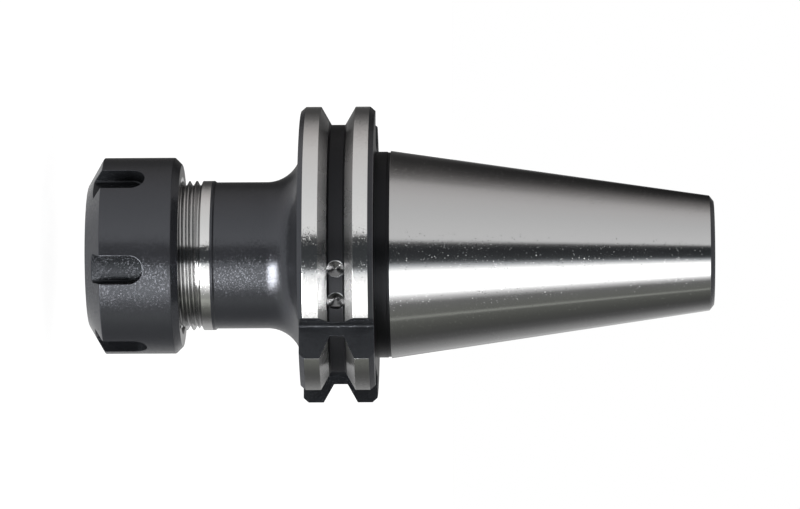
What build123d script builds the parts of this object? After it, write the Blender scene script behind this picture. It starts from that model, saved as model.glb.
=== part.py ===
from build123d import *
import math
import os

# Collet chuck holder with a steep-taper shank, in millimetres.
# The tool axis is Z. Z = 0 is the gauge plane, where the shank cone has its gauge diameter,
# +Z runs up the shank to its small end, and -Z runs down through the flange to the nut.
# The two drive slots of the flange lie on +X and -X.

# Shank cone, 7:24 on diameter
GAUGE_DIAMETER = 44.45
TAPER = 7 / 24
SHANK_LENGTH = 68.9
SHANK_END_RADIAL = 1.2
SHANK_END_AXIAL = 0.95

# Bores in the shank's small end: pilot, tapped hole at its core diameter, and tap drill
PILOT_DIAMETER = 17.0
PILOT_DEPTH = 8.2
MOUTH_CHAMFER = 0.5
CORE_DIAMETER = 14.0
CORE_DEPTH = 42.5
DRILL_POINT_ANGLE = 118.0
THROUGH_DIAMETER = 8.0

# Flange with its gripper groove
FLANGE_DIAMETER = 63.55
FLANGE_REAR = 3.2
FLANGE_WIDTH = 15.9
FLANGE_CHAMFER_RADIAL = 0.95
FLANGE_CHAMFER_AXIAL = 1.1
GROOVE_CENTRE = 11.1
GROOVE_DEPTH = 3.825
GROOVE_FLOOR_WIDTH = 2.9
GROOVE_ANGLE = 60.0

# Relief between the flange and the cone, with an undercut beside the cone
RELIEF_DIAMETER = 44.1
UNDERCUT_WIDTH = 0.65
UNDERCUT_DEPTH = 0.15

# Drive slots, one deeper than the other, and the square orientation notch
SLOT_WIDTH = 16.1
SHALLOW_SLOT_FLOOR = 25.0
DEEP_SLOT_FLOOR = 22.7
NOTCH_OFFSET = 18.5
NOTCH_CORNER_RADIUS = 0.8
EDGE_BREAK = 0.25

# Balance drillings in the groove floor, joined by a shallow milled channel
BALANCE_DIAMETER = 3.7
BALANCE_WALL = 0.3
BALANCE_ANGLES = (-72.6, -58.9)
CHANNEL_WIDTH = 2.8
CHANNEL_DEPTH = 0.4

# Neck and threaded nose
NOSE_REACH = 57.2
NECK_DIAMETER = 31.35
NECK_FILLET = 7.5
THREAD_DIAMETER = 32.0
THREAD_LENGTH = 17.0
RUNOUT_LENGTH = 0.75
RUNOUT_DEPTH = 0.92
BAND_WIDTH = 2.5
NOSE_CHAMFER = 0.8

# Collet seat and the tool bore behind it
SEAT_MOUTH_DIAMETER = 26.0
SEAT_ANGLE = 8.0
SHANK_BORE_DIAMETER = 18.0
SHANK_BORE_REACH = 0.5

# Collet
COLLET_LENGTH = 34.0
COLLET_BORE_DIAMETER = 12.0
HEAD_CONE_LENGTH = 3.2
HEAD_CONE_ANGLE = 30.0
HEAD_DIAMETER = 24.9
RIM_LENGTH = 0.6
GROOVE_LENGTH = 2.5
COLLET_GROOVE_DIAMETER = 22.0
COLLET_CHAMFER = 0.3
SLIT_WIDTH = 0.9
SLIT_COUNT = 8
FRONT_SLIT_WEB = 5.0
REAR_SLIT_WEB = 8.0

# Clamping nut
NUT_DIAMETER = 42.0
NUT_LENGTH = 20.0
NUT_BEVEL_LENGTH = 3.45
NUT_BEVEL_ANGLE = 60.0
NUT_REAR_CHAMFER = 1.5
NUT_MOUTH_RECESS = 0.5
NUT_ENTRY_CHAMFER = 0.7
LIP_THICKNESS = 1.6
LIP_OFFSET = 0.75
SPANNER_SLOT_COUNT = 6
SPANNER_SLOT_WIDTH = 6.0
SPANNER_SLOT_LENGTH = 12.7
SPANNER_SLOT_DEPTH = 3.2
SPANNER_SLOT_START = -70.8

# Clearances between the pieces
SEAT_CLEARANCE = 0.1
THREAD_CLEARANCE = 0.05
HEAD_CLEARANCE = 0.17
LIP_CLEARANCE = 0.3

# How far each cutter runs past the faces that it opens
OVERRUN = 1.0

# Stations along the axis that follow from the sizes above
flange_rear_z = -FLANGE_REAR
flange_front_z = flange_rear_z - FLANGE_WIDTH
nose_z = -NOSE_REACH
seat_slope = math.tan(math.radians(SEAT_ANGLE))
shoulder_z = nose_z - SEAT_CLEARANCE / seat_slope
collet_groove_z = shoulder_z - GROOVE_LENGTH
rim_z = collet_groove_z - RIM_LENGTH
collet_front_z = rim_z - HEAD_CONE_LENGTH
collet_rear_z = collet_front_z + COLLET_LENGTH
nut_front_z = collet_front_z - NUT_MOUTH_RECESS
nut_rear_z = nut_front_z + NUT_LENGTH
head_slope = math.tan(math.radians(HEAD_CONE_ANGLE))

# Radii that follow from the sizes above
groove_floor_r = FLANGE_DIAMETER / 2 - GROOVE_DEPTH
thread_r = THREAD_DIAMETER / 2


def cone_radius(z):
    """Radius of the shank cone at a height above the gauge plane."""
    return GAUGE_DIAMETER / 2 - z * TAPER / 2


def point_depth(wide, narrow):
    """Length of a drill point's cone between two diameters."""
    return (wide - narrow) / 2 / math.tan(math.radians(DRILL_POINT_ANGLE / 2))


def turned(outline):
    """A solid turned about the tool axis from an outline of radius and height."""
    return revolve(Plane.XZ * make_face(outline), Axis.Z)


def through_flange(face):
    """A flat cutter outline carried right through the flange, clear of both its faces."""
    cutter = extrude(face, FLANGE_WIDTH + 2 * OVERRUN)
    return Pos(0, 0, flange_front_z - OVERRUN) * cutter


def holder_outline():
    """Half section of the holder body, from the nose to the shank's small end and back."""
    flange_r = FLANGE_DIAMETER / 2
    half_floor = GROOVE_FLOOR_WIDTH / 2
    half_mouth = half_floor + GROOVE_DEPTH * math.tan(math.radians(GROOVE_ANGLE / 2))
    relief_r = RELIEF_DIAMETER / 2
    neck_r = NECK_DIAMETER / 2
    band_z = nose_z + THREAD_LENGTH
    band_end_z = band_z + BAND_WIDTH
    runout_z = band_z - RUNOUT_LENGTH
    runout_r = thread_r - RUNOUT_DEPTH
    fillet_z = flange_front_z - NECK_FILLET
    fillet_r = neck_r + NECK_FILLET
    chamfer_z = SHANK_LENGTH - SHANK_END_AXIAL
    end_r = cone_radius(chamfer_z) - SHANK_END_RADIAL
    seat_r = SEAT_MOUTH_DIAMETER / 2
    core_end_z = SHANK_LENGTH - CORE_DEPTH
    pilot_end_z = SHANK_LENGTH - PILOT_DEPTH
    core_r = CORE_DIAMETER / 2
    pilot_r = PILOT_DIAMETER / 2
    through_r = THROUGH_DIAMETER / 2
    bore_r = SHANK_BORE_DIAMETER / 2
    seat_end_z = nose_z + (seat_r - bore_r) / seat_slope
    nose_side = Polyline(
        (seat_r, nose_z),
        (thread_r - NOSE_CHAMFER, nose_z),
        (thread_r, nose_z + NOSE_CHAMFER),
        (thread_r, runout_z - RUNOUT_DEPTH / 2),
        (runout_r, runout_z),
        (runout_r, band_z - RUNOUT_DEPTH / 2),
        (thread_r, band_z),
        (thread_r, band_end_z),
        (neck_r, band_end_z + thread_r - neck_r),
        (neck_r, fillet_z),
    )
    root = RadiusArc((neck_r, fillet_z), (fillet_r, flange_front_z), NECK_FILLET)
    flange_side = Polyline(
        (fillet_r, flange_front_z),
        (flange_r - FLANGE_CHAMFER_RADIAL, flange_front_z),
        (flange_r, flange_front_z + FLANGE_CHAMFER_AXIAL),
        (flange_r, -GROOVE_CENTRE - half_mouth),
        (groove_floor_r, -GROOVE_CENTRE - half_floor),
        (groove_floor_r, -GROOVE_CENTRE + half_floor),
        (flange_r, -GROOVE_CENTRE + half_mouth),
        (flange_r, flange_rear_z - FLANGE_CHAMFER_AXIAL),
        (flange_r - FLANGE_CHAMFER_RADIAL, flange_rear_z),
        (relief_r, flange_rear_z),
        (relief_r, -UNDERCUT_WIDTH),
        (relief_r - UNDERCUT_DEPTH, -UNDERCUT_WIDTH),
        (relief_r - UNDERCUT_DEPTH, 0),
        (cone_radius(0), 0),
        (cone_radius(chamfer_z), chamfer_z),
        (end_r, SHANK_LENGTH),
    )
    bores = Polyline(
        (end_r, SHANK_LENGTH),
        (pilot_r + MOUTH_CHAMFER, SHANK_LENGTH),
        (pilot_r, SHANK_LENGTH - MOUTH_CHAMFER),
        (pilot_r, pilot_end_z),
        (core_r, pilot_end_z - point_depth(PILOT_DIAMETER, CORE_DIAMETER)),
        (core_r, core_end_z),
        (through_r, core_end_z - point_depth(CORE_DIAMETER, THROUGH_DIAMETER)),
        (through_r, SHANK_BORE_REACH + point_depth(SHANK_BORE_DIAMETER, THROUGH_DIAMETER)),
        (bore_r, SHANK_BORE_REACH),
        (bore_r, seat_end_z),
        (seat_r, nose_z),
    )
    return nose_side + root + flange_side + bores


def drive_slot(floor, side):
    """Cutter for one drive slot. side is 1 for the slot on +X and -1 for the one on -X."""
    half = SLOT_WIDTH / 2
    flange_r = FLANGE_DIAMETER / 2
    edge_x = math.sqrt(flange_r**2 - half**2)
    outer_x = flange_r + OVERRUN
    flare = half + EDGE_BREAK + outer_x - edge_x
    face = make_face(
        Polyline(
            (side * floor, -half),
            (side * (edge_x - EDGE_BREAK), -half),
            (side * outer_x, -flare),
            (side * outer_x, flare),
            (side * (edge_x - EDGE_BREAK), half),
            (side * floor, half),
            close=True,
        )
    )
    return through_flange(face)


def orientation_notch():
    """Cutter for the square notch between the +X drive slot and -Y."""
    outer = FLANGE_DIAMETER / 2 + OVERRUN
    side = outer - NOTCH_OFFSET
    square = Pos(NOTCH_OFFSET + side / 2, -NOTCH_OFFSET - side / 2) * Rectangle(side, side)
    inner_corner = square.vertices().sort_by_distance((0, 0))[0]
    return through_flange(fillet(inner_corner, NOTCH_CORNER_RADIUS))


def balance_drilling(angle):
    """Cutter for one drilling into the groove floor, with its drill point."""
    half = BALANCE_DIAMETER / 2
    point = point_depth(BALANCE_DIAMETER, 0)
    wall_r = groove_floor_r - BALANCE_WALL
    outline = Polyline(
        (0, wall_r - point),
        (half, wall_r),
        (half, groove_floor_r + half),
        (0, groove_floor_r + half),
        close=True,
    )
    drill = turned(outline)
    return Rot(0, 0, angle) * Pos(0, 0, -GROOVE_CENTRE) * Rot(0, 90, 0) * drill


def balance_channel():
    """Cutter for the shallow channel between the two balance drillings."""
    start, end = (math.radians(angle) for angle in BALANCE_ANGLES)
    inner, outer = groove_floor_r - CHANNEL_DEPTH, groove_floor_r + CHANNEL_DEPTH
    ends = [(r * math.cos(a), r * math.sin(a)) for a in (start, end) for r in (inner, outer)]
    inner_start, outer_start, inner_end, outer_end = ends
    middle = (start + end) / 2
    inner_arc = ThreePointArc(inner_start, (inner * math.cos(middle), inner * math.sin(middle)), inner_end)
    outer_arc = ThreePointArc(outer_start, (outer * math.cos(middle), outer * math.sin(middle)), outer_end)
    sides = Line(inner_start, outer_start) + Line(inner_end, outer_end)
    face = make_face(inner_arc + outer_arc + sides)
    return Pos(0, 0, -GROOVE_CENTRE - CHANNEL_WIDTH / 2) * extrude(face, CHANNEL_WIDTH)


def holder_body():
    """Shank, flange, neck and nose, turned from one bar and then milled."""
    body = turned(holder_outline())
    body -= drive_slot(SHALLOW_SLOT_FLOOR, 1)
    body -= drive_slot(DEEP_SLOT_FLOOR, -1)
    body -= orientation_notch()
    body -= balance_channel()
    for angle in BALANCE_ANGLES:
        body -= balance_drilling(angle)
    return body


def collet():
    """Spring collet: two sets of slits from opposite ends leave a folded sleeve."""
    shoulder_r = SEAT_MOUTH_DIAMETER / 2
    rear_r = shoulder_r - (collet_rear_z - shoulder_z) * seat_slope
    head_r = HEAD_DIAMETER / 2
    face_r = head_r - HEAD_CONE_LENGTH * head_slope
    bore_r = COLLET_BORE_DIAMETER / 2
    groove_r = COLLET_GROOVE_DIAMETER / 2
    outline = Polyline(
        (bore_r + COLLET_CHAMFER, collet_front_z),
        (face_r, collet_front_z),
        (head_r, rim_z),
        (head_r, collet_groove_z),
        (groove_r, collet_groove_z),
        (groove_r, shoulder_z),
        (shoulder_r, shoulder_z),
        (rear_r + COLLET_CHAMFER * seat_slope, collet_rear_z - COLLET_CHAMFER),
        (rear_r - COLLET_CHAMFER, collet_rear_z),
        (bore_r + COLLET_CHAMFER, collet_rear_z),
        (bore_r, collet_rear_z - COLLET_CHAMFER),
        (bore_r, collet_front_z + COLLET_CHAMFER),
        close=True,
    )
    sleeve = turned(outline)
    pitch = 360 / SLIT_COUNT
    for start_z, end_z, first in (
        (collet_front_z - OVERRUN, collet_rear_z - FRONT_SLIT_WEB, 0),
        (collet_front_z + REAR_SLIT_WEB, collet_rear_z + OVERRUN, pitch / 2),
    ):
        blade = Box(
            SEAT_MOUTH_DIAMETER,
            SLIT_WIDTH,
            end_z - start_z,
            align=(Align.MIN, Align.CENTER, Align.MIN),
        )
        for index in range(SLIT_COUNT):
            sleeve -= Rot(0, 0, first + index * pitch) * Pos(0, 0, start_z) * blade
    return sleeve


def spanner_slot(angle):
    """Cutter for one spanner slot, open at the nut's front and round at its blind end."""
    radius = SPANNER_SLOT_WIDTH / 2
    floor_r = NUT_DIAMETER / 2 - SPANNER_SLOT_DEPTH
    straight = SPANNER_SLOT_LENGTH - radius + OVERRUN
    height = SPANNER_SLOT_DEPTH + OVERRUN
    channel = Pos(floor_r, 0, nut_front_z - OVERRUN) * Box(
        height, SPANNER_SLOT_WIDTH, straight, align=(Align.MIN, Align.CENTER, Align.MIN)
    )
    end = Pos(floor_r, 0, nut_front_z + SPANNER_SLOT_LENGTH - radius) * Rot(0, 90, 0)
    round_end = end * Cylinder(radius, height, align=(Align.CENTER, Align.CENTER, Align.MIN))
    return Rot(0, 0, angle) * (channel + round_end)


def clamping_nut():
    """Ring nut with its head cone, the off-centre lip that draws the collet out, and spanner slots."""
    outer_r = NUT_DIAMETER / 2
    face_r = outer_r - NUT_BEVEL_LENGTH * math.tan(math.radians(NUT_BEVEL_ANGLE))
    bore_r = thread_r + THREAD_CLEARANCE
    head_r = HEAD_DIAMETER / 2 + HEAD_CLEARANCE
    mouth_r = head_r - (rim_z - nut_front_z) * head_slope
    groove_r = COLLET_GROOVE_DIAMETER / 2
    lip_reach = groove_r + LIP_CLEARANCE
    lip_front_z = collet_groove_z + LIP_CLEARANCE
    lip_rear_z = lip_front_z + LIP_THICKNESS
    outline = Polyline(
        (mouth_r, nut_front_z),
        (face_r, nut_front_z),
        (outer_r, nut_front_z + NUT_BEVEL_LENGTH),
        (outer_r, nut_rear_z - NUT_REAR_CHAMFER),
        (outer_r - NUT_REAR_CHAMFER, nut_rear_z),
        (bore_r + NUT_ENTRY_CHAMFER, nut_rear_z),
        (bore_r, nut_rear_z - NUT_ENTRY_CHAMFER),
        (bore_r, lip_rear_z),
        (lip_reach, lip_rear_z),
        (lip_reach, lip_front_z),
        (head_r, lip_front_z),
        (head_r, rim_z),
        close=True,
    )
    nut = turned(outline)
    lip_hole = Cylinder(
        lip_reach + LIP_OFFSET,
        LIP_THICKNESS,
        align=(Align.CENTER, Align.CENTER, Align.MIN),
    )
    nut -= Pos(LIP_OFFSET, 0, lip_front_z) * lip_hole
    for index in range(SPANNER_SLOT_COUNT):
        nut -= spanner_slot(SPANNER_SLOT_START + index * 360 / SPANNER_SLOT_COUNT)
    return nut


os.makedirs("parts", exist_ok=True)
for name, piece in (
    ("holder_body", holder_body()),
    ("collet", collet()),
    ("clamping_nut", clamping_nut()),
):
    export_step(piece, f"parts/{name}.step")
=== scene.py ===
import bmesh
import bpy
import math
from mathutils import Matrix, Vector


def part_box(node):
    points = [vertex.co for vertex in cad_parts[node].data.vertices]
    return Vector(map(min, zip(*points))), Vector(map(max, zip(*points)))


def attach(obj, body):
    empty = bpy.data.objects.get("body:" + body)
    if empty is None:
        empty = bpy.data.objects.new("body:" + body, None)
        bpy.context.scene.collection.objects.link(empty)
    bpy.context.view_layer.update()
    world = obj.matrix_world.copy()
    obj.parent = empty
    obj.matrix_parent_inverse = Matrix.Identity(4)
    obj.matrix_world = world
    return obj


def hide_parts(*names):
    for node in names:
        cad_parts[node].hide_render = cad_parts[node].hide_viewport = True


# Looks of a collet chuck holder: a blackened and ground steel holder body, a slotted clamping nut and a
# spring collet. Sizes are in millimetres and MM turns them into metres. The tool axis is Z, and the nut is at
# its lower end.

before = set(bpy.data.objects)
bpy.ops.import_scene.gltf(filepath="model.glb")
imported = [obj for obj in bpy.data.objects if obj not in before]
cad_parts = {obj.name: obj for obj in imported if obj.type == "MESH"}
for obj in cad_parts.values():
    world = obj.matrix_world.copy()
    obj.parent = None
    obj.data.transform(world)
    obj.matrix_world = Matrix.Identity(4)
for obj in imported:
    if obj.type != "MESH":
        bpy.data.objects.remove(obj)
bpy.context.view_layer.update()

MM = 0.001
IMAGE_WIDTH = 800
ROUND_STEPS = 288
THREAD_STEPS = 192
WELD = 0.0008
# Points nearer than this, in metres, to a line of the drawing are on it
SAME_PLACE = 1e-6

# A face counts as turned where its normal leans out by this much and points straight away from the axis
LEAST_LEAN = 0.05
ROUND_FACING = math.cos(math.radians(1.0))

# Widths of rounded edges
WORN_HIGHLIGHT_RIM = 0.08
HOLDER_EDGE = 0.12
MILLED_EDGE = 0.045
DRILL_EDGE = 0.07
NUT_EDGE = 0.15
NUT_SLOT_EDGE = 0.12
NUT_SLOT_FLOOR_EDGE = 0.45
COLLET_EDGE = 0.08

# How far cutters reach past the steel that they cut
THREAD_PAST = 0.1
FLANGE_PAST = 1.5
OUTER_PAST = 2
CHANNEL_PAST = 0.6
LIP_PAST = 0.2
SLOT_PAST = 1.5
SLIT_PAST = 1

holder_low, holder_high = (Vector(corner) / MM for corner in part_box("holder_body"))
collet_low, collet_high = (Vector(corner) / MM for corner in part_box("collet"))
nut_low, nut_high = (Vector(corner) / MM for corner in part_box("clamping_nut"))

# Shank cone and its relief
TAPER = 7 / 24
GAUGE_RADIUS = 22.225
SHANK_END_RADIAL = 1.2
SHANK_END_AXIAL = 0.95
RELIEF_RADIUS = 22.05
UNDERCUT_WIDTH = 0.65
UNDERCUT_DEPTH = 0.15

# Bores of the shank
PILOT_RADIUS = 8.5
PILOT_DEPTH = 8.2
MOUTH_CHAMFER = 0.5
CORE_RADIUS = 7.0
CORE_DEPTH = 42.5
THROUGH_RADIUS = 4.0
SHANK_BORE_RADIUS = 9.0
SHANK_BORE_REACH = 0.5
POINT_SLOPE = math.tan(math.radians(59))

# Flange
FLANGE_RADIUS = holder_high.y
FLANGE_REAR = -3.2
FLANGE_FRONT = -19.1
CHAMFER_RADIAL = 0.95
CHAMFER_AXIAL = 1.1
GROOVE_Z = -11.1
GROOVE_DEPTH = 3.825
GROOVE_FLOOR_HALF = 1.45
GROOVE_SLOPE = math.tan(math.radians(30))
GROOVE_FLOOR_RADIUS = FLANGE_RADIUS - GROOVE_DEPTH
# Height of the dark foot of the groove's walls above its floor, which is painted shade at the groove's bottom
GROOVE_SHADE = 0.75

# Cuts in the flange
SLOT_HALF_WIDTH = 8.05
SHALLOW_FLOOR = 25.0
DEEP_FLOOR = 22.7
NOTCH_OFFSET = 18.5
NOTCH_CORNER = 0.8
DRILL_RADIUS = 1.85
DRILL_WALL = 0.3
DRILL_ANGLES = (-72.6, -58.9)
# Rings on the drill point, as shares of its radius: one near the tip and one near the rim
DRILL_TIP = 0.08
DRILL_RIM = 0.97
DRILL_REACH = 3
CHANNEL_HALF = 1.45
CHANNEL_DEPTH = 0.4

# Neck and nose
NECK_RADIUS = 15.675
NECK_FILLET = 7.5
THREAD_RADIUS = 16.0
THREAD_PITCH = 1.5
THREAD_DEPTH = 0.92
THREAD_LENGTH = 17.0
THREAD_RUNOUT = 0.75
THREAD_HALF = 0.656
THREAD_ROOT_HALF = 0.125
THREAD_TURNS = 12
THREAD_START = -170.4
# Drop of the thread's top turn below the bright band
THREAD_DROP = 0.05
BRIGHT_BAND = 2.0
BAND_WIDTH = 2.5
NOSE_CHAMFER = 0.8
SEAT_RADIUS = 13.0
SEAT_SLOPE = math.tan(math.radians(8))

# Clamping nut
NUT_RADIUS = nut_high.x
NUT_BEVEL_AXIAL = 3.45
NUT_BEVEL_SLOPE = math.tan(math.radians(60))
NUT_REAR_CHAMFER = 1.5
NUT_ENTRY_CHAMFER = 0.7
NUT_THREAD_RADIUS = 16.05
NUT_SLOT_HALF = 3.0
NUT_SLOT_LENGTH = 12.7
NUT_SLOT_DEPTH = 3.2
NUT_SLOT_COUNT = 6
NUT_SLOT_START = -70.8
LIP_THICKNESS = 1.6
LIP_OFFSET = 0.75
LIP_CLEARANCE = 0.3
HEAD_CLEARANCE = 0.17

# Collet
COLLET_BORE = 6.0
COLLET_STEPS = 192
COLLET_HEAD_RADIUS = 12.45
COLLET_GROOVE_RADIUS = 11.0
HEAD_CONE = 3.2
HEAD_SLOPE = math.tan(math.radians(30))
HEAD_RIM = 0.6
COLLET_GROOVE = 2.5
COLLET_CHAMFER = 0.3
SLIT_HALF = 0.45
SLIT_COUNT = 8
SLIT_INNER = 1.0
FRONT_WEB = 5.0
REAR_WEB = 8.0

# Heights of the collet's head and of the lip that reaches into the groove behind it
RIM_Z = collet_low.z + HEAD_CONE
COLLET_GROOVE_Z = RIM_Z + HEAD_RIM
LIP_LOW = COLLET_GROOVE_Z + LIP_CLEARANCE
LIP_HIGH = LIP_LOW + LIP_THICKNESS

# Finish slots of the holder body, and of the nut and collet. The darker of the two blacks is black oxide
# painted darker as shade in recesses, and the edge finish is steel worn bare, lighter also as a painted
# highlight
BLACK, SHADED, GROUND, LAND, TURNED, FACED, MILLED, DRILLED, BORE, WORN_HIGHLIGHT_EDGE = range(10)


def drill_point(wide, narrow):
    """Length of a drill point's cone between two radii."""
    return (wide - narrow) / POINT_SLOPE


def cone_radius(z):
    """Radius of the shank cone at a height above the gauge plane."""
    return GAUGE_RADIUS - z * TAPER / 2


def quarter_arc(centre, radius, start, end, steps):
    """Points of an arc about a centre in the half section, from one angle to another in degrees."""
    sweep = (math.radians(start + (end - start) * step / steps) for step in range(steps + 1))
    return [(centre[0] + radius * math.cos(a), centre[1] + radius * math.sin(a)) for a in sweep]


def paint(mesh, finish):
    """Gives all faces of a shape one finish."""
    for face in mesh.faces:
        face.material_index = finish


def revolve(points, finish, steps=ROUND_STEPS, angle=math.tau):
    """A chain of radius and height points turned about the tool axis, all in one finish."""
    mesh = bmesh.new()
    verts = [mesh.verts.new((radius * MM, 0, z * MM)) for radius, z in points]
    edges = [mesh.edges.new(pair) for pair in zip(verts, verts[1:])]
    full = angle == math.tau
    bmesh.ops.spin(
        mesh, geom=verts + edges, cent=(0, 0, 0), axis=(0, 0, 1), angle=angle, steps=steps, use_merge=full
    )
    paint(mesh, finish)
    return mesh


def joined(meshes):
    """Several shapes as one bmesh. They are used up."""
    whole = bmesh.new()
    for mesh in meshes:
        data = bpy.data.meshes.new("joining")
        mesh.to_mesh(data)
        mesh.free()
        whole.from_mesh(data)
        bpy.data.meshes.remove(data)
    return whole


def close_mesh(mesh):
    """Welds the bands of a turned shape and points its faces outwards."""
    bmesh.ops.remove_doubles(mesh, verts=mesh.verts, dist=WELD * MM)
    bmesh.ops.recalc_face_normals(mesh, faces=mesh.faces)


def close_cutter(mesh, finish, weld=WELD):
    """Welds a cutter, fills its open ends, points its faces outwards and gives them one finish."""
    bmesh.ops.remove_doubles(mesh, verts=mesh.verts, dist=weld * MM)
    bmesh.ops.holes_fill(mesh, edges=[edge for edge in mesh.edges if len(edge.link_faces) == 1])
    bmesh.ops.recalc_face_normals(mesh, faces=mesh.faces)
    paint(mesh, finish)


def turned(bands, steps=ROUND_STEPS):
    """A closed turned shape from bands of one finish each, whose ends meet all round the section."""
    mesh = joined(revolve(points, finish, steps) for finish, points in bands)
    close_mesh(mesh)
    return mesh


def sharp_edges(mesh, smallest=20.0):
    """Edges whose faces meet at more than an angle in degrees."""
    limit = math.radians(smallest)
    return [edge for edge in mesh.edges if len(edge.link_faces) == 2 and edge.calc_face_angle(0) > limit]


def ring_edges(mesh, radius, z):
    """Edges that run round the tool axis through one corner of the half section."""

    def stands_there(vert):
        reach = math.hypot(vert.co.x, vert.co.y)
        return abs(vert.co.z - z * MM) < WELD * MM and abs(reach - radius * MM) < WELD * MM

    return [edge for edge in mesh.edges if all(stands_there(vert) for vert in edge.verts)]


def worn_highlight_face(edge):
    """True where an edge borders a face of the finish of edges worn bare, which is also painted light as a
    highlight.
    """
    return any(face.material_index == WORN_HIGHLIGHT_EDGE for face in edge.link_faces)


def break_edges(mesh, edges, width, steps=2, finish=-1, clamp=True):
    """Rounds edges over by a width in millimetres, with a finish of their own where one is given."""
    bmesh.ops.bevel(
        mesh,
        geom=edges,
        offset=width * MM,
        offset_type="OFFSET",
        affect="EDGES",
        segments=steps,
        profile=0.5,
        clamp_overlap=clamp,
        material=finish,
    )


def make_object(name, mesh):
    """A scene object from a bmesh, which is used up."""
    data = bpy.data.meshes.new(name)
    mesh.to_mesh(data)
    mesh.free()
    piece = bpy.data.objects.new(name, data)
    bpy.context.scene.collection.objects.link(piece)
    return piece


def apply_modifiers(piece):
    """Makes what the modifiers give the piece's own mesh."""
    depsgraph = bpy.context.evaluated_depsgraph_get()
    result = bpy.data.meshes.new_from_object(piece.evaluated_get(depsgraph))
    piece.modifiers.clear()
    spent = piece.data
    piece.data = result
    bpy.data.meshes.remove(spent)


def laid_round(mesh, count, first):
    """Copies of a cutter laid evenly round the tool axis, from an angle in degrees. It is used up."""
    data = bpy.data.meshes.new("copied")
    mesh.to_mesh(data)
    mesh.free()
    tools = bmesh.new()
    for index in range(count):
        made = len(tools.verts)
        tools.from_mesh(data)
        tools.verts.ensure_lookup_table()
        turn = Matrix.Rotation(math.radians(first + index * 360 / count), 3, "Z")
        bmesh.ops.rotate(tools, verts=tools.verts[made:], cent=(0, 0, 0), matrix=turn)
    bpy.data.meshes.remove(data)
    return tools


def cut(piece, tool_mesh):
    """Takes the space of a closed tool out of a piece. The tool's faces bring their own finish."""
    tool = make_object("tool", tool_mesh)
    modifier = piece.modifiers.new("cut", "BOOLEAN")
    modifier.operation = "DIFFERENCE"
    modifier.solver = "EXACT"
    modifier.material_mode = "INDEX"
    modifier.object = tool
    apply_modifiers(piece)
    spent = tool.data
    bpy.data.objects.remove(tool)
    bpy.data.meshes.remove(spent)


def rim_of(edge, finish):
    """True for an outward corner where a face of this finish meets one of another."""
    matches = [face.material_index == finish for face in edge.link_faces]
    return edge.is_convex and matches.count(True) == 1


def soften(piece, width, cut_finish=MILLED, edge_finish=-1):
    """Rounds over the corners that the cuts of one finish left on a turned piece."""
    mesh = bmesh.new()
    mesh.from_mesh(piece.data)
    bmesh.ops.remove_doubles(mesh, verts=mesh.verts, dist=0.012 * MM)
    bmesh.ops.dissolve_degenerate(mesh, edges=mesh.edges, dist=0.004 * MM)
    edges = [edge for edge in sharp_edges(mesh, 25.0) if rim_of(edge, cut_finish)]
    break_edges(mesh, edges, width, finish=edge_finish, clamp=False)
    mesh.to_mesh(piece.data)
    mesh.free()


def shade_round(piece, smooth_angle=28.0):
    """Shades turned surfaces as truly round, and keeps flats flat right up to their rounded edges."""
    piece.data.shade_smooth()
    piece.data.set_sharp_from_angle(angle=math.radians(smooth_angle))
    modifier = piece.modifiers.new("weighting", "WEIGHTED_NORMAL")
    modifier.keep_sharp = True
    modifier.weight = 100
    apply_modifiers(piece)
    mesh = piece.data
    normals = [corner.vector.copy() for corner in mesh.corner_normals]
    for face in mesh.polygons:
        spread = math.hypot(face.normal.x, face.normal.y)
        reach = math.hypot(face.center.x, face.center.y)
        if spread < LEAST_LEAN or reach < MM:
            continue
        facing = (face.normal.x * face.center.x + face.normal.y * face.center.y) / (spread * reach)
        if abs(facing) < ROUND_FACING:
            continue
        for corner in face.loop_indices:
            place = mesh.vertices[mesh.loops[corner].vertex_index].co
            height = normals[corner].z
            level = math.copysign(math.sqrt(max(0.0, 1 - height * height)), facing)
            across = level / math.hypot(place.x, place.y)
            normals[corner] = Vector((place.x * across, place.y * across, height))
    mesh.normals_split_custom_set(normals)


def finish_piece(piece, body, nodes, materials):
    """Gives a piece its materials and shading, fixes it to its body and hides the CAD nodes that it stands
    for.
    """
    for material in materials:
        piece.data.materials.append(material)
    shade_round(piece)
    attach(piece, body)
    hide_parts(*nodes)


def helix_tool(outer, root, half_width, low, turns, finish):
    """Closed cutter for a thread groove: a V section carried up a right-hand helix.

    The first turn is spun and the others are copies of it, one pitch higher each.
    """
    mesh = bmesh.new()
    mouth_r = outer + THREAD_PAST
    slope = (half_width - THREAD_ROOT_HALF) / (outer - root)
    wide = half_width + THREAD_PAST * slope
    corners = [(mouth_r, -wide), (root, -THREAD_ROOT_HALF), (root, THREAD_ROOT_HALF), (mouth_r, wide)]
    verts = [mesh.verts.new((radius * MM, 0, (low + z) * MM)) for radius, z in corners]
    edges = [mesh.edges.new(pair) for pair in zip(verts, verts[1:] + verts[:1])]
    start = Matrix.Rotation(math.radians(THREAD_START), 3, "Z")
    bmesh.ops.rotate(mesh, verts=verts, cent=(0, 0, 0), matrix=start)
    bmesh.ops.spin(
        mesh,
        geom=verts + edges,
        cent=(0, 0, 0),
        axis=(0, 0, 1),
        dvec=(0, 0, THREAD_PITCH * MM / THREAD_STEPS),
        angle=math.tau,
        steps=THREAD_STEPS,
    )
    one_turn = mesh.verts[:] + mesh.edges[:] + mesh.faces[:]
    for turn in range(1, turns):
        copied = bmesh.ops.duplicate(mesh, geom=one_turn)["geom"]
        lifted = [item for item in copied if isinstance(item, bmesh.types.BMVert)]
        bmesh.ops.translate(mesh, vec=(0, 0, turn * THREAD_PITCH * MM), verts=lifted)
    close_cutter(mesh, finish, 0.003)
    return mesh


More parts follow.
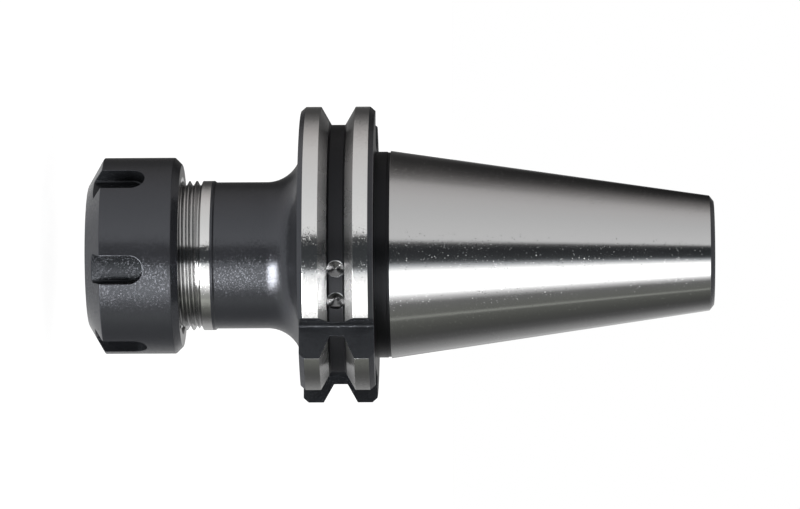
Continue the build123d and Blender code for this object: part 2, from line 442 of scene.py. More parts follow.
def block(low, high, finish):
    """A closed box between two corners."""
    mesh = bmesh.new()
    bmesh.ops.create_cube(mesh, size=1)
    centre = (Vector(low) + Vector(high)) / 2 * MM
    size = (Vector(high) - Vector(low)) * MM
    bmesh.ops.scale(mesh, vec=size, verts=mesh.verts)
    bmesh.ops.translate(mesh, vec=centre, verts=mesh.verts)
    paint(mesh, finish)
    return mesh


def holder_bands():
    """Half section of the holder body: from the nose up the outside, and back through the bores."""
    nose_z = holder_low.z
    end_z = holder_high.z
    band_z = nose_z + THREAD_LENGTH
    black_z = band_z + BRIGHT_BAND
    step_z = band_z + BAND_WIDTH
    neck_top = step_z + THREAD_RADIUS - NECK_RADIUS
    root = THREAD_RADIUS - THREAD_DEPTH
    fillet_z = FLANGE_FRONT - NECK_FILLET
    fillet_r = NECK_RADIUS + NECK_FILLET
    floor_r = GROOVE_FLOOR_RADIUS
    floor_low, floor_high = GROOVE_Z - GROOVE_FLOOR_HALF, GROOVE_Z + GROOVE_FLOOR_HALF
    half_mouth = GROOVE_FLOOR_HALF + GROOVE_DEPTH * GROOVE_SLOPE
    mouth_low, mouth_high = GROOVE_Z - half_mouth, GROOVE_Z + half_mouth
    shade_r = floor_r + GROOVE_SHADE
    half_shade = GROOVE_FLOOR_HALF + GROOVE_SHADE * GROOVE_SLOPE
    shade_low, shade_high = GROOVE_Z - half_shade, GROOVE_Z + half_shade
    rim_r = FLANGE_RADIUS - CHAMFER_RADIAL
    land_low, land_high = FLANGE_FRONT + CHAMFER_AXIAL, FLANGE_REAR - CHAMFER_AXIAL
    nose_top = nose_z + NOSE_CHAMFER
    mouth_r = PILOT_RADIUS + MOUTH_CHAMFER
    undercut_r = RELIEF_RADIUS - UNDERCUT_DEPTH
    cone_end_z = end_z - SHANK_END_AXIAL
    cone_end_r = cone_radius(cone_end_z)
    end_r = cone_end_r - SHANK_END_RADIAL
    core_top = end_z - PILOT_DEPTH - drill_point(PILOT_RADIUS, CORE_RADIUS)
    core_end = end_z - CORE_DEPTH
    bore_point = SHANK_BORE_REACH + drill_point(SHANK_BORE_RADIUS, THROUGH_RADIUS)
    seat_end = nose_z + (SEAT_RADIUS - SHANK_BORE_RADIUS) / SEAT_SLOPE
    arc = quarter_arc((fillet_r, fillet_z), NECK_FILLET, 180, 90, 20)
    return [
        (BORE, [(SEAT_RADIUS, nose_z), (THREAD_RADIUS - NOSE_CHAMFER, nose_z), (THREAD_RADIUS, nose_top)]),
        (
            TURNED,
            [
                (THREAD_RADIUS, nose_top),
                (THREAD_RADIUS, band_z - THREAD_RUNOUT - THREAD_DEPTH / 2),
                (root, band_z - THREAD_RUNOUT),
                (root, band_z - THREAD_DEPTH / 2),
                (THREAD_RADIUS, band_z),
            ],
        ),
        (LAND, [(THREAD_RADIUS, band_z), (THREAD_RADIUS, black_z)]),
        (
            BLACK,
            [
                (THREAD_RADIUS, black_z),
                (THREAD_RADIUS, step_z),
                (NECK_RADIUS, neck_top),
                (NECK_RADIUS, fillet_z),
            ],
        ),
        (BLACK, arc),
        (BLACK, [(fillet_r, FLANGE_FRONT), (rim_r, FLANGE_FRONT), (FLANGE_RADIUS, land_low)]),
        (LAND, [(FLANGE_RADIUS, land_low), (FLANGE_RADIUS, mouth_low)]),
        (FACED, [(FLANGE_RADIUS, mouth_low), (shade_r, shade_low)]),
        # The groove's floor and the foot of its walls are painted darker as shade
        (SHADED, [(shade_r, shade_low), (floor_r, floor_low), (floor_r, floor_high), (shade_r, shade_high)]),
        (FACED, [(shade_r, shade_high), (FLANGE_RADIUS, mouth_high)]),
        (LAND, [(FLANGE_RADIUS, mouth_high), (FLANGE_RADIUS, land_high)]),
        (BLACK, [(FLANGE_RADIUS, land_high), (rim_r, FLANGE_REAR)]),
        # The flange's rear face, the relief and the undercut are painted darker as shade
        (
            SHADED,
            [
                (rim_r, FLANGE_REAR),
                (RELIEF_RADIUS, FLANGE_REAR),
                (RELIEF_RADIUS, -UNDERCUT_WIDTH),
                (undercut_r, -UNDERCUT_WIDTH),
                (undercut_r, 0),
                (GAUGE_RADIUS, 0),
            ],
        ),
        (GROUND, [(GAUGE_RADIUS, 0), (cone_end_r, cone_end_z)]),
        (BLACK, [(cone_end_r, cone_end_z), (end_r, end_z), (mouth_r, end_z)]),
        (
            BORE,
            [
                (mouth_r, end_z),
                (PILOT_RADIUS, end_z - MOUTH_CHAMFER),
                (PILOT_RADIUS, end_z - PILOT_DEPTH),
                (CORE_RADIUS, core_top),
                (CORE_RADIUS, core_end),
                (THROUGH_RADIUS, core_end - drill_point(CORE_RADIUS, THROUGH_RADIUS)),
                (THROUGH_RADIUS, bore_point),
                (SHANK_BORE_RADIUS, SHANK_BORE_REACH),
                (SHANK_BORE_RADIUS, seat_end),
            ],
        ),
        (GROUND, [(SHANK_BORE_RADIUS, seat_end), (SEAT_RADIUS, nose_z)]),
    ]


def in_notch_corner(vert):
    """True for the points on the notch's inner corner."""
    off_x, off_y = vert.co.x - NOTCH_OFFSET * MM, vert.co.y + NOTCH_OFFSET * MM
    return abs(off_x) < SAME_PLACE and abs(off_y) < SAME_PLACE


def flange_tools():
    """Closed cutters for the two drive slots and for the square notch with its rounded inner corner."""
    low_z, high_z = FLANGE_FRONT - FLANGE_PAST, FLANGE_REAR + FLANGE_PAST
    out = FLANGE_RADIUS + OUTER_PAST
    shallow = block((SHALLOW_FLOOR, -SLOT_HALF_WIDTH, low_z), (out, SLOT_HALF_WIDTH, high_z), MILLED)
    deep = block((-out, -SLOT_HALF_WIDTH, low_z), (-DEEP_FLOOR, SLOT_HALF_WIDTH, high_z), MILLED)
    notch = block((NOTCH_OFFSET, -out, low_z), (out, -NOTCH_OFFSET, high_z), MILLED)
    inner = [edge for edge in notch.edges if all(in_notch_corner(vert) for vert in edge.verts)]
    break_edges(notch, inner, NOTCH_CORNER, 5)
    return [shallow, deep, notch]


def drill_tool(angle):
    """Cutter for a balance drilling with its drill point, pointing at the tool axis."""
    wall = GROOVE_FLOOR_RADIUS - DRILL_WALL
    point = drill_point(DRILL_RADIUS, 0)
    rings = [(DRILL_RADIUS * share, -point * (1 - share)) for share in (0, DRILL_TIP, DRILL_RIM, 1)]
    mesh = revolve(rings + [(DRILL_RADIUS, DRILL_REACH), (0, DRILL_REACH)], DRILLED, 48)
    close_mesh(mesh)
    turn = Matrix.Rotation(math.radians(angle), 4, "Z")
    place = Matrix.Translation((wall * MM, 0, GROOVE_Z * MM))
    tip_over = Matrix.Rotation(math.radians(90), 4, "Y")
    bmesh.ops.transform(mesh, matrix=turn @ place @ tip_over, verts=mesh.verts)
    return mesh


def channel_tool():
    """Cutter for the shallow channel in the groove floor between the two drillings."""
    low_r, high_r = GROOVE_FLOOR_RADIUS - CHANNEL_DEPTH, GROOVE_FLOOR_RADIUS + CHANNEL_PAST
    start, end = DRILL_ANGLES
    corners = [
        (low_r, GROOVE_Z - CHANNEL_HALF),
        (high_r, GROOVE_Z - CHANNEL_HALF),
        (high_r, GROOVE_Z + CHANNEL_HALF),
        (low_r, GROOVE_Z + CHANNEL_HALF),
    ]
    # The channel's faces are painted darker as shade
    mesh = revolve(corners + corners[:1], SHADED, 16, math.radians(end - start))
    close_cutter(mesh, SHADED)
    turn = Matrix.Rotation(math.radians(start), 3, "Z")
    bmesh.ops.rotate(mesh, verts=mesh.verts, cent=(0, 0, 0), matrix=turn)
    return mesh


def holder_piece():
    """Holder body: turned blank, threads, drive slots, notch and balance drillings."""
    mesh = turned(holder_bands())
    # The flange's rear rim is rounded in the lighter finish of steel worn bare, which is also a painted
    # highlight line
    worn = ring_edges(mesh, FLANGE_RADIUS - CHAMFER_RADIAL, FLANGE_REAR)
    break_edges(mesh, worn, WORN_HIGHLIGHT_RIM, finish=WORN_HIGHLIGHT_EDGE)
    break_edges(mesh, [edge for edge in sharp_edges(mesh) if not worn_highlight_face(edge)], HOLDER_EDGE)
    piece = make_object("holder", mesh)
    low = holder_low.z + THREAD_LENGTH - THREAD_HALF - THREAD_DROP - THREAD_TURNS * THREAD_PITCH
    root = THREAD_RADIUS - THREAD_DEPTH
    cut(piece, helix_tool(THREAD_RADIUS, root, THREAD_HALF, low, THREAD_TURNS, TURNED))
    cut(piece, joined(flange_tools() + [drill_tool(angle) for angle in DRILL_ANGLES]))
    cut(piece, channel_tool())
    soften(piece, MILLED_EDGE)
    # The drillings' rims are rounded in the lighter finish of steel worn bare, which is also a painted
    # highlight ring
    soften(piece, DRILL_EDGE, DRILLED, WORN_HIGHLIGHT_EDGE)
    return piece


def nut_bands():
    """Half section of the clamping nut, from its mouth up the outside and back through its bore."""
    front, rear = nut_low.z, nut_high.z
    head_r = COLLET_HEAD_RADIUS + HEAD_CLEARANCE
    mouth_r = head_r - (RIM_Z - front) * HEAD_SLOPE
    face_r = NUT_RADIUS - NUT_BEVEL_AXIAL * NUT_BEVEL_SLOPE
    lip_r = COLLET_GROOVE_RADIUS + LIP_CLEARANCE
    return [
        (BLACK, [(mouth_r, front), (face_r, front), (NUT_RADIUS, front + NUT_BEVEL_AXIAL)]),
        (BLACK, [(NUT_RADIUS, front + NUT_BEVEL_AXIAL), (NUT_RADIUS, rear - NUT_REAR_CHAMFER)]),
        (BLACK, [(NUT_RADIUS, rear - NUT_REAR_CHAMFER), (NUT_RADIUS - NUT_REAR_CHAMFER, rear)]),
        (TURNED, [(NUT_RADIUS - NUT_REAR_CHAMFER, rear), (NUT_THREAD_RADIUS + NUT_ENTRY_CHAMFER, rear)]),
        (
            TURNED,
            [
                (NUT_THREAD_RADIUS + NUT_ENTRY_CHAMFER, rear),
                (NUT_THREAD_RADIUS, rear - NUT_ENTRY_CHAMFER),
                (NUT_THREAD_RADIUS, LIP_HIGH),
                (lip_r, LIP_HIGH),
                (lip_r, LIP_LOW),
                (head_r, LIP_LOW),
            ],
        ),
        (GROUND, [(head_r, LIP_LOW), (head_r, RIM_Z), (mouth_r, front)]),
    ]


def spanner_slot_tools():
    """Round-ended cutters for the spanner slots, laid round the nut."""
    front = nut_low.z
    floor_r = NUT_RADIUS - NUT_SLOT_DEPTH
    mesh = bmesh.new()
    arc_z = front + NUT_SLOT_LENGTH - NUT_SLOT_HALF
    start = mesh.verts.new((floor_r * MM, -NUT_SLOT_HALF * MM, arc_z * MM))
    bmesh.ops.spin(
        mesh, geom=[start], cent=(floor_r * MM, 0, arc_z * MM), axis=(-1, 0, 0), angle=math.pi, steps=32
    )
    mesh.verts.ensure_lookup_table()
    arc = sorted(mesh.verts, key=lambda vert: vert.co.y)
    low = (front - OUTER_PAST) * MM
    ends = [mesh.verts.new((floor_r * MM, side * NUT_SLOT_HALF * MM, low)) for side in (1, -1)]
    floor = mesh.faces.new(arc + ends)
    grown = bmesh.ops.extrude_face_region(mesh, geom=[floor])
    tops = [item for item in grown["geom"] if isinstance(item, bmesh.types.BMVert)]
    bmesh.ops.translate(mesh, vec=((NUT_SLOT_DEPTH + SLOT_PAST) * MM, 0, 0), verts=tops)
    bmesh.ops.recalc_face_normals(mesh, faces=mesh.faces)
    floor_edges = [
        edge
        for edge in sharp_edges(mesh, 40)
        if all(abs(vert.co.x - floor_r * MM) < SAME_PLACE for vert in edge.verts)
    ]
    break_edges(mesh, floor_edges, NUT_SLOT_FLOOR_EDGE, 3)
    paint(mesh, MILLED)
    return laid_round(mesh, NUT_SLOT_COUNT, NUT_SLOT_START)


def lip_tool():
    """Cutter that moves the nut's extraction lip off centre."""
    low, high = LIP_LOW - LIP_PAST, LIP_HIGH + LIP_PAST
    radius = COLLET_GROOVE_RADIUS + LIP_CLEARANCE + LIP_OFFSET
    mesh = revolve([(0, low), (radius, low), (radius, high), (0, high)], TURNED)
    close_mesh(mesh)
    bmesh.ops.translate(mesh, vec=(LIP_OFFSET * MM, 0, 0), verts=mesh.verts)
    return mesh


def nut_piece():
    """Clamping nut with bevelled front, spanner slots and off-centre lip."""
    mesh = turned(nut_bands())
    break_edges(mesh, sharp_edges(mesh), NUT_EDGE)
    piece = make_object("nut", mesh)
    cut(piece, lip_tool())
    cut(piece, spanner_slot_tools())
    soften(piece, NUT_SLOT_EDGE)
    return piece


def collet_piece():
    """Spring collet with slits from both ends."""
    low, high = collet_low.z, collet_high.z
    shoulder_z = COLLET_GROOVE_Z + COLLET_GROOVE
    shoulder_r = collet_high.x
    rear_r = shoulder_r - (high - shoulder_z) * SEAT_SLOPE
    face_r = COLLET_HEAD_RADIUS - HEAD_CONE * HEAD_SLOPE
    bands = [
        (
            GROUND,
            [
                (COLLET_BORE + COLLET_CHAMFER, low),
                (face_r, low),
                (COLLET_HEAD_RADIUS, RIM_Z),
                (COLLET_HEAD_RADIUS, COLLET_GROOVE_Z),
                (COLLET_GROOVE_RADIUS, COLLET_GROOVE_Z),
                (COLLET_GROOVE_RADIUS, shoulder_z),
                (shoulder_r, shoulder_z),
                (rear_r + COLLET_CHAMFER * SEAT_SLOPE, high - COLLET_CHAMFER),
                (rear_r - COLLET_CHAMFER, high),
                (COLLET_BORE + COLLET_CHAMFER, high),
                (COLLET_BORE, high - COLLET_CHAMFER),
                (COLLET_BORE, low + COLLET_CHAMFER),
                (COLLET_BORE + COLLET_CHAMFER, low),
            ],
        )
    ]
    mesh = turned(bands, COLLET_STEPS)
    break_edges(mesh, sharp_edges(mesh), COLLET_EDGE)
    piece = make_object("spring_collet", mesh)
    front_slits = (low - SLIT_PAST, high - FRONT_WEB, 0)
    rear_slits = (low + REAR_WEB, high + SLIT_PAST, 180 / SLIT_COUNT)
    for start_z, end_z, first in (front_slits, rear_slits):
        blade = block((SLIT_INNER, -SLIT_HALF, start_z), (shoulder_r + SLIT_PAST, SLIT_HALF, end_z), BORE)
        cut(piece, laid_round(blade, SLIT_COUNT, first))
    return piece


class Nodes:
    """Short helpers to build one node tree."""

    def __init__(self, tree):
        self.tree = tree

    def feed(self, socket, value):
        if isinstance(value, bpy.types.NodeSocket):
            self.tree.links.new(value, socket)
        else:
            socket.default_value = value

    def add(self, kind, inputs=(), **settings):
        node = self.tree.nodes.new(kind)
        for name, value in settings.items():
            setattr(node, name, value)
        for name, value in dict(inputs).items():
            self.feed(node.inputs[name], value)
        return node

    def math(self, operation, first, second=0.0):
        return self.add("ShaderNodeMath", {0: first, 1: second}, operation=operation).outputs[0]

    def ramp(self, value, *stops, interpolation="LINEAR"):
        node = self.add("ShaderNodeValToRGB", {"Fac": value})
        node.color_ramp.interpolation = interpolation
        elements = node.color_ramp.elements
        while len(elements) < len(stops):
            elements.new(0.5)
        for element, (position, *levels) in zip(elements, stops):
            element.position = position
            element.color = (*(levels if len(levels) == 3 else levels * 3), 1)
        return node.outputs["Color"]

    def ramp_round(self, share, stops):
        """A ramp over the angle round the tool axis, with its stops in degrees."""
        return self.ramp(share, *(((degrees + 180) / 360, *levels) for degrees, *levels in stops))

    def mix(self, factor, first, second):
        node = self.add("ShaderNodeMix", {"Factor": factor}, data_type="RGBA")
        self.feed(node.inputs[6], first)
        self.feed(node.inputs[7], second)
        return node.outputs[2]


def new_group(name, inputs, outputs):
    """An empty shader node group with named sockets."""
    tree = bpy.data.node_groups.new(name, "ShaderNodeTree")
    for label, kind, value in inputs:
        socket = tree.interface.new_socket(label, in_out="INPUT", socket_type=kind)
        if value is not None:
            socket.default_value = value
    for label, kind in outputs:
        tree.interface.new_socket(label, in_out="OUTPUT", socket_type=kind)
    nodes = Nodes(tree)
    source = tree.nodes.new("NodeGroupInput")
    sink = tree.nodes.new("NodeGroupOutput")
    return nodes, source, sink


def speck_group():
    """A mask of fine bright specks."""
    number, vector = "NodeSocketFloat", "NodeSocketVector"
    nodes, source, sink = new_group(
        "Bright specks",
        [("Position", vector, None), ("Scale", number, 4000.0), ("Speck Share", number, 0.03)],
        [("Specks", number)],
    )
    place, scale = source.outputs["Position"], source.outputs["Scale"]
    fleck = nodes.add("ShaderNodeTexVoronoi", {"Vector": place, "Scale": scale}, feature="F1")
    chosen = nodes.math("LESS_THAN", fleck.outputs["Color"], source.outputs["Speck Share"])
    near = nodes.math("LESS_THAN", fleck.outputs["Distance"], 0.35)
    nodes.tree.links.new(nodes.math("MULTIPLY", chosen, near), sink.inputs["Specks"])
    return nodes.tree


def ring_group():
    """Turning or grinding marks: fine rings along the tool axis that waver a little round it."""
    number, vector = "NodeSocketFloat", "NodeSocketVector"
    nodes, source, sink = new_group(
        "Ring marks",
        [("Position", vector, None), ("Rings per Metre", number, 6000.0), ("Waver", number, 20.0)],
        [("Height", number)],
    )
    split = nodes.add("ShaderNodeSeparateXYZ", {0: source.outputs["Position"]})
    along = nodes.math("MULTIPLY", split.outputs["Z"], source.outputs["Rings per Metre"])
    across = nodes.math("MULTIPLY", split.outputs["X"], source.outputs["Waver"])
    around = nodes.math("MULTIPLY", split.outputs["Y"], source.outputs["Waver"])
    stretched = nodes.add("ShaderNodeCombineXYZ", {"X": across, "Y": around, "Z": along}).outputs[0]
    noise = {"Vector": stretched, "Scale": 1.0, "Detail": 3.0, "Roughness": 0.7}
    marks = nodes.add("ShaderNodeTexNoise", noise)
    nodes.tree.links.new(marks.outputs["Fac"], sink.inputs["Height"])
    return nodes.tree


def glint_group():
    """Small facets that lean at random: they sparkle beside a bright reflection and stay quiet elsewhere."""
    number, vector = "NodeSocketFloat", "NodeSocketVector"
    nodes, source, sink = new_group(
        "Glinting facets",
        [
            ("Position", vector, None),
            ("Scale", number, 4000.0),
            ("Lean", number, 0.4),
            ("Share", number, 0.5),
        ],
        [("Normal", vector)],
    )
    place = source.outputs["Position"]
    cells = nodes.add("ShaderNodeTexVoronoi", {"Vector": place, "Scale": source.outputs["Scale"]})
    colors = {0: cells.outputs["Color"], 1: (0.5, 0.5, 0.5)}
    middle = nodes.add("ShaderNodeVectorMath", colors, operation="SUBTRACT")
    draw = nodes.add("ShaderNodeTexWhiteNoise", {"Vector": cells.outputs["Position"]}, noise_dimensions="3D")
    cloud = nodes.add("ShaderNodeTexNoise", {"Vector": place, "Scale": 160.0, "Detail": 3.0})
    spread = {"From Min": 0.35, "From Max": 0.65, "To Min": 0.2, "To Max": 1.8}
    crowd = nodes.add("ShaderNodeMapRange", {"Value": cloud.outputs["Fac"], **spread})
    share = nodes.math("MULTIPLY", crowd.outputs[0], source.outputs["Share"])
    leans = nodes.math("LESS_THAN", draw.outputs["Value"], share)
    amount = nodes.math("MULTIPLY", leans, source.outputs["Lean"])
    offset = nodes.add("ShaderNodeVectorMath", {0: middle.outputs[0], "Scale": amount}, operation="SCALE")
    straight = nodes.add("ShaderNodeNewGeometry").outputs["Normal"]
    leaning = nodes.add("ShaderNodeVectorMath", {0: straight, 1: offset.outputs[0]}, operation="ADD")
    unit = nodes.add("ShaderNodeVectorMath", {0: leaning.outputs[0]}, operation="NORMALIZE")
    nodes.tree.links.new(unit.outputs[0], sink.inputs["Normal"])
    return nodes.tree


def steel(
    name,
    color,
    roughness,
    groups,
    metallic=1.0,
    specular=0.5,
    anisotropy=0.0,
    speck_share=0.0,
    speck_color=(0.5, 0.5, 0.5),
    grain=4000.0,
    ring_bump=0.0,
    rings=6000.0,
    lean=0.0,
    lean_share=0.5,
):
    """A steel surface: base colour and roughness, bright specks, glinting facets and ring marks."""
    material = bpy.data.materials.new(name)
    material.use_nodes = True
    tree = material.node_tree
    shader = tree.nodes["Principled BSDF"]
    nodes = Nodes(tree)
    place = nodes.add("ShaderNodeTexCoord").outputs["Object"]
    specks = nodes.add("ShaderNodeGroup", node_tree=groups["specks"])
    tree.links.new(place, specks.inputs["Position"])
    specks.inputs["Scale"].default_value = grain
    specks.inputs["Speck Share"].default_value = speck_share
    base, bright = (*color, 1), (*speck_color, 1)
    tree.links.new(nodes.mix(specks.outputs["Specks"], base, bright), shader.inputs["Base Color"])
    cloud = nodes.add("ShaderNodeTexNoise", {"Vector": place, "Scale": 90.0, "Detail": 3.0})
    spread = {"From Min": 0.3, "From Max": 0.7, "To Min": roughness * 0.9, "To Max": roughness * 1.12}
    rough = nodes.add("ShaderNodeMapRange", {"Value": cloud.outputs["Fac"], **spread})
    tree.links.new(rough.outputs[0], shader.inputs["Roughness"])
    shader.inputs["Metallic"].default_value = metallic
    shader.inputs["Specular IOR Level"].default_value = specular
    if anisotropy:
        shader.inputs["Anisotropic"].default_value = anisotropy
        shader.inputs["Anisotropic Rotation"].default_value = 0.25
        tangent = nodes.add("ShaderNodeTangent", direction_type="RADIAL", axis="Z")
        tree.links.new(tangent.outputs[0], shader.inputs["Tangent"])
    normal = None
    if lean:
        facets = nodes.add("ShaderNodeGroup", node_tree=groups["glint"])
        tree.links.new(place, facets.inputs["Position"])
        facets.inputs["Scale"].default_value = grain
        facets.inputs["Lean"].default_value = lean
        facets.inputs["Share"].default_value = lean_share
        normal = facets.outputs["Normal"]
    if ring_bump:
        ring = nodes.add("ShaderNodeGroup", node_tree=groups["ring"])
        tree.links.new(place, ring.inputs["Position"])
        ring.inputs["Rings per Metre"].default_value = rings
        normal = bumped(nodes, ring.outputs["Height"], ring_bump, 0.02, normal)
    if normal:
        tree.links.new(normal, shader.inputs["Normal"])
    return material


def bumped(nodes, height, strength, depth, normal):
    """A normal with a height in millimetres bumped on top of the one that is given."""
    bump = nodes.add("ShaderNodeBump", {"Height": height, "Strength": strength, "Distance": depth * MM})
    if normal:
        nodes.tree.links.new(normal, bump.inputs["Normal"])
    return bump.outputs["Normal"]


def make_materials():
    """Every finish of the chuck, in the order of the finish slots."""
    groups = {"specks": speck_group(), "ring": ring_group(), "glint": glint_group()}
    black = steel(
        "black oxide", (0.061, 0.0635, 0.071), 0.18, groups, metallic=0.75, speck_share=0.002,
        speck_color=(0.42, 0.45, 0.5), grain=7500, lean=0.22, lean_share=0.38,
    )
    # Black oxide painted darker as shade, for the flange's rear face, the relief, the groove floor and the
    # channel
    shaded = steel(
        "oxide darkened as painted shade", (0.021, 0.0215, 0.0235), 0.3, groups, metallic=0.7, specular=0.1, speck_share=0.004,
        speck_color=(0.3, 0.32, 0.35), grain=6500, lean=0.2, lean_share=0.1,
    )
    ground = steel(
        "ground steel", (0.60, 0.60, 0.60), 0.13, groups, anisotropy=0.6, speck_share=0.002,
        speck_color=(0.85, 0.86, 0.88), grain=7000, ring_bump=0.15, rings=9000, lean=0.25, lean_share=0.035,
    )
    land = steel(
        "ground land", (0.72, 0.72, 0.715), 0.1, groups, anisotropy=0.5, speck_share=0.005,
        speck_color=(0.85, 0.86, 0.88), grain=7000, ring_bump=0.12, rings=9000, lean=0.13, lean_share=0.3,
    )
    turned_steel = steel(
        "turned steel", (0.49, 0.49, 0.49), 0.13, groups, anisotropy=0.6, speck_share=0.004, grain=7000,
        ring_bump=0.1, rings=7000,
    )
    faced = steel(
        "faced steel", (0.52, 0.52, 0.52), 0.26, groups, anisotropy=1.0, speck_share=0.004, grain=7000,
        ring_bump=0.1, rings=7000, lean=0.2, lean_share=0.05,
    )
    milled = steel(
        "milled black", (0.027, 0.029, 0.033), 0.24, groups, metallic=0.75, speck_share=0.02,
        speck_color=(0.4, 0.42, 0.46), grain=7500, lean=0.42, lean_share=0.5,
    )
    drilled = steel(
        "drilled steel", (0.19, 0.19, 0.193), 0.16, groups, speck_share=0.01, grain=6000,
        lean=0.25, lean_share=0.3,
    )
    bore = steel("bored steel", (0.2, 0.2, 0.205), 0.3, groups, speck_share=0.01, ring_bump=0.3, rings=5000)
    # Edges worn to bare steel, made lighter also as a painted highlight line
    edge = steel("worn edge with painted highlight", (0.3, 0.31, 0.32), 0.28, groups, speck_share=0.05, speck_color=(0.8, 0.8, 0.8))
    return [black, shaded, ground, land, turned_steel, faced, milled, drilled, bore, edge]


# The photo's camera: its angle round the tool axis in degrees, its distance and heights, and its lens
VIEW_AZIMUTH = 11.0
CAMERA_DISTANCE = 1183.0
CAMERA_Z = 29.6
AIM_Z = 1.8
FOCAL_PIXELS = 5525.0
ROLL = 0.29
SENSOR = 36.0


def camera_directions():
    """Unit vectors in the row frame: towards the camera, and down in the photo."""
    turn = math.radians(VIEW_AZIMUTH)
    return Vector((math.sin(turn), -math.cos(turn), 0)), Vector((math.cos(turn), math.sin(turn), 0))


def add_camera():
    """The camera of the photo: it looks across the upright tool axis and is rolled a quarter turn."""
    data = bpy.data.cameras.new("camera")
    data.sensor_width = SENSOR
    data.lens = FOCAL_PIXELS / IMAGE_WIDTH * SENSOR
    data.clip_end = 20
    camera = bpy.data.objects.new("camera", data)
    towards, down = camera_directions()
    eye = (towards * CAMERA_DISTANCE + Vector((0, 0, CAMERA_Z))) * MM
    aim = Vector((0, 0, AIM_Z)) * MM
    back = (eye - aim).normalized()
    right = back.cross(down).normalized()
    up = back.cross(right)
    turn = Matrix((right, up, back)).transposed().to_4x4()
    camera.matrix_world = Matrix.Translation(eye) @ turn @ Matrix.Rotation(math.radians(-ROLL), 4, "Z")
    bpy.context.scene.collection.objects.link(camera)
    bpy.context.scene.camera = camera


# Light round the tool axis as angle and level. The angle is measured from the camera's side and is positive
# downwards in the photo. The cone mirrors what stands a little above the level that the upright walls mirror.
# The stops were tuned until bands of the render were about as bright as the photo at the same angle.
CONE_LEVELS = (
    (-180, 0.40),
    (-168, 0.12),
    (-156, 0.036),
    (-144, 0.055),
    (-132, 0.080),
    (-120, 0.13),
    (-108, 0.235),
    (-96, 0.385),
    (-84, 0.55),
    (-72, 0.63),
    (-48, 0.705),
    (-16.5, 0.80),
    (-13.2, 0.07),
    (-6, 0.03),
    (3, 0.04),
    (9, 0.065),
    (14.3, 0.8),
    (20, 2.0),
    (42.5, 2.6),
    (50.5, 0.9),
    (58, 0.19),
    (76, 0.17),
    (78, 0.55),
    (80, 0.15),
    (96, 0.10),
    (108, 0.085),
    (120, 0.13),
    (134, 0.28),
    (152, 0.43),
    (166, 0.7),
    (180, 0.40),
)
WALL_LEVELS = (
    (-180, 0.3),
    (-160, 0.07),
    (-144, 0.07),
    (-132, 0.14),
    (-120, 0.33),
    (-104, 0.54),
    (-88, 0.68),
    (-48, 0.80),
    (-17, 0.92),
    (-13.6, 0.07),
    (-5, 0.045),
    (4, 0.05),
    (10.5, 0.09),
    (14.5, 1.0),
    (24, 1.35),
    (42, 1.45),
    (48, 1.2),
    (54, 0.8),
    (61, 0.42),
    (69, 0.32),
    (73, 0.44),
    (80, 0.33),
    (88, 0.17),
    (104, 0.09),
    (112, 0.105),
    (120, 0.185),
    (136, 0.385),
    (160, 0.5),
    (180, 0.3),
)
# Tints of that light: a little warm above, cool in the dark gap and a little green below
PLAIN = (1.0, 1.0, 1.0)
WARM = (1.035, 0.99, 0.975)
COOL = (0.92, 1.0, 1.08)
GREENISH = (1.01, 1.035, 0.955)
STUDIO_TINTS = (
    (-180, *PLAIN),
    (-110, *WARM),
    (-50, *PLAIN),
    (-14, *PLAIN),
    (-7, *COOL),
    (6, *COOL),
    (18, *PLAIN),
    (56, *PLAIN),
    (72, *GREENISH),
    (92, *GREENISH),
    (115, *PLAIN),
)
# Light towards the ends of the tool axis: from below, which the nut's bevel mirrors, and from above
LOW_LEVELS = (
    (-180, 1.0),
    (-166, 1.6),
    (-152, 0.9),
    (-100, 0.8),
    (-19, 0.9),
    (-14.5, 0.06),
    (8, 0.08),
    (16, 0.8),
    (150, 0.8),
    (180, 1.0),
)
HIGH_LEVELS = ((-180, 0.5), (-19, 0.5), (-14.5, 0.05), (8, 0.07), (16, 0.5), (180, 0.5))
# Heights, as the upright part of a direction, where the cone's light and the ends' light take over
CONE_RISE = ((0.03, 0.0), (0.08, 1.0))
END_RISE = ((0.45, 0.0), (0.8, 1.0))
# Shade at the far side of the soft box over the cone: its strength, and how far round and high it reaches
GAP_SHADE = 0.62
GAP_ROUND = ((0.23, 1.0), (0.25, 0.0))
GAP_RISE = ((0.155, 1.0), (0.18, 0.0))
# Low bright card that lights the neck fillet: its strength, its arc in degrees and its depth
CARD_GLOW = 20.0
CARD_ROUND = ((12, 0.0), (19, 1.0), (45, 1.0), (57, 0.0))
CARD_DEPTH = ((0.16, 0.0), (0.3, 0.8), (0.46, 1.0), (0.62, 0.85), (0.76, 0.0))
# The highest level that a ramp can hold
STUDIO_TOP = 3.0


